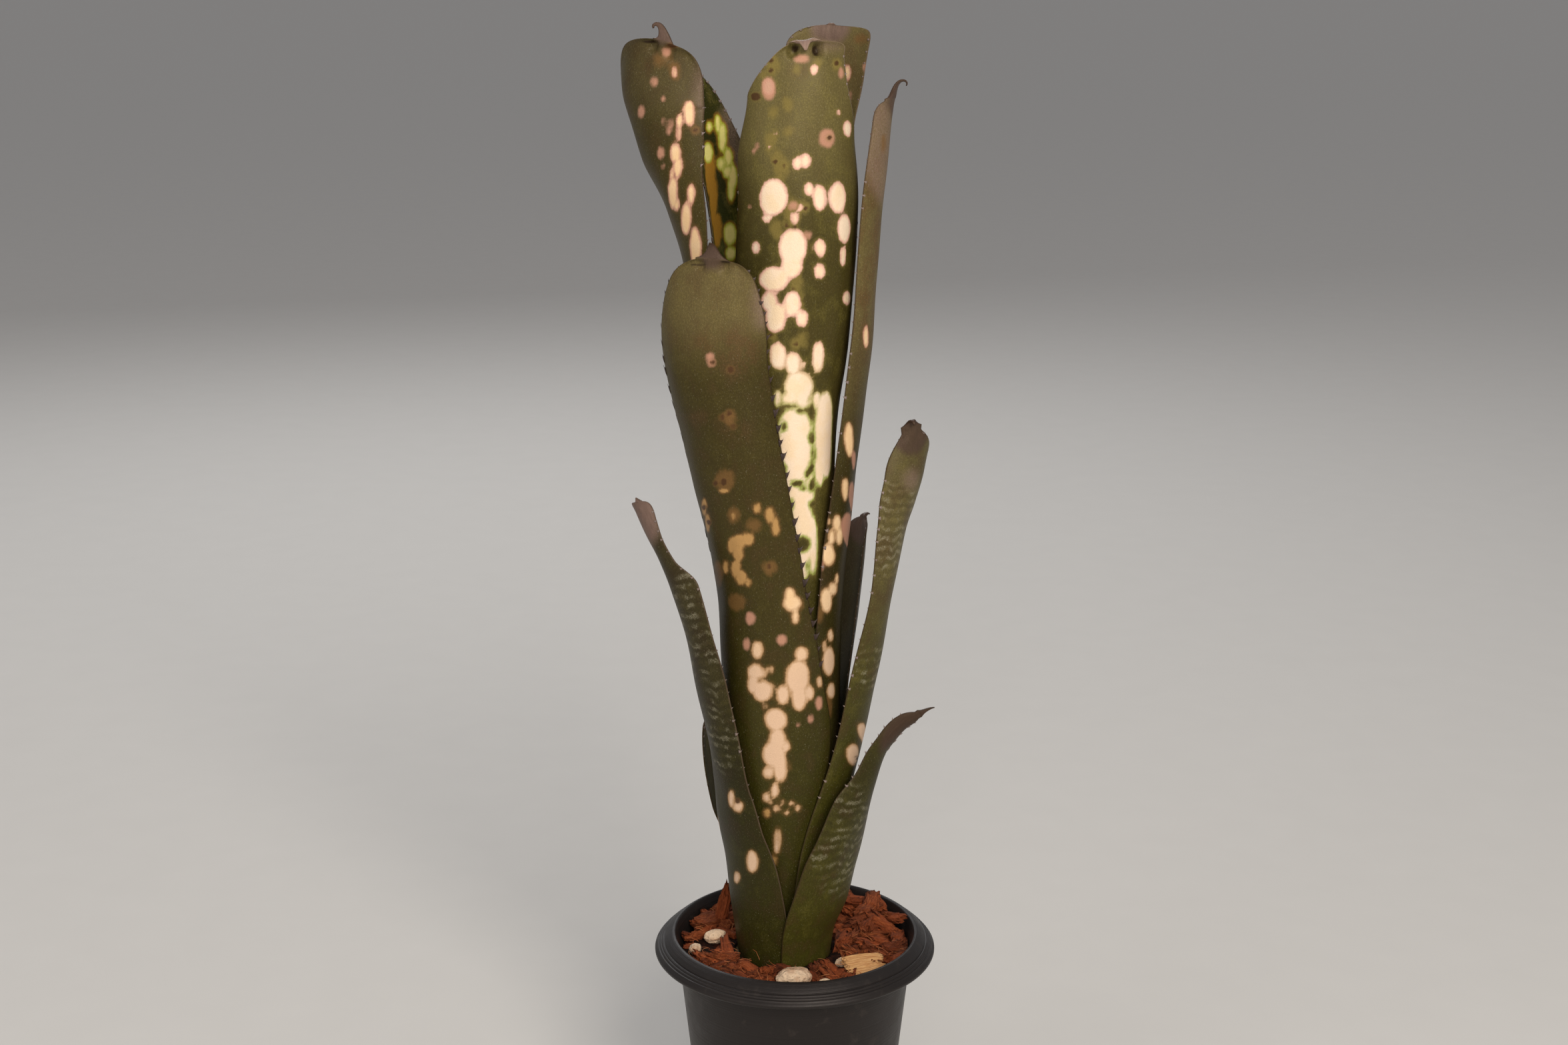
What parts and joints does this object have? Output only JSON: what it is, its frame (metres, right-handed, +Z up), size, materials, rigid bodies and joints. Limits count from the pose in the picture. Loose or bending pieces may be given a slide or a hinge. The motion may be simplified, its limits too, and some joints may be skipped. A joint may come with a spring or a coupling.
{
  "type": "potted billbergia",
  "caption": "Tubular bromeliad with tall hooked strap leaves marked with cream blotches, standing in a small grooved-rim nursery pot of bark chips.",
  "frame": {"origin": "centre of the pot's flat underside, which stands on the surface", "axes": "+Z up along the pot's axis, -Y towards the front of the plant, +X to the right seen from the front"},
  "size_m": [0.1069, 0.1, 0.4054],
  "materials": {
    "pot_plastic": "moulded, slightly worn",
    "bark_mix": "rough chips of bark and coir",
    "stem_tissue": "fibrous",
    "leaf_olive": "satin, finely striped",
    "leaf_blotched": "satin, cream blotches",
    "leaf_mottled": "satin, green mottled yellow",
    "leaf_dark": "dull, purple grey",
    "leaf_banded": "satin, thin silver bands",
    "pumice": "porous, dull",
    "pale_wood": "split, fibrous"
  },
  "bodies": {
    "root": {"pot": "pot_plastic", "potting_mix": "bark_mix", "stem": "stem_tissue", "leaf_inner": "leaf_olive", "leaf_centre": "leaf_blotched", "leaf_back_left": "leaf_mottled", "leaf_left": "leaf_olive", "leaf_right": "leaf_olive", "leaf_front": "leaf_olive", "leaf_back_right": "leaf_dark", "leaf_right_middle": "leaf_banded", "leaf_back_low": "leaf_banded", "leaf_left_middle": "leaf_banded", "leaf_right_low": "leaf_banded", "pebble_1": "pumice", "pebble_2": "pumice", "pebble_3": "pumice", "pebble_4": "pumice", "pebble_5": "pumice", "wood_chip": "pale_wood"}
  },
  "joints": []
}
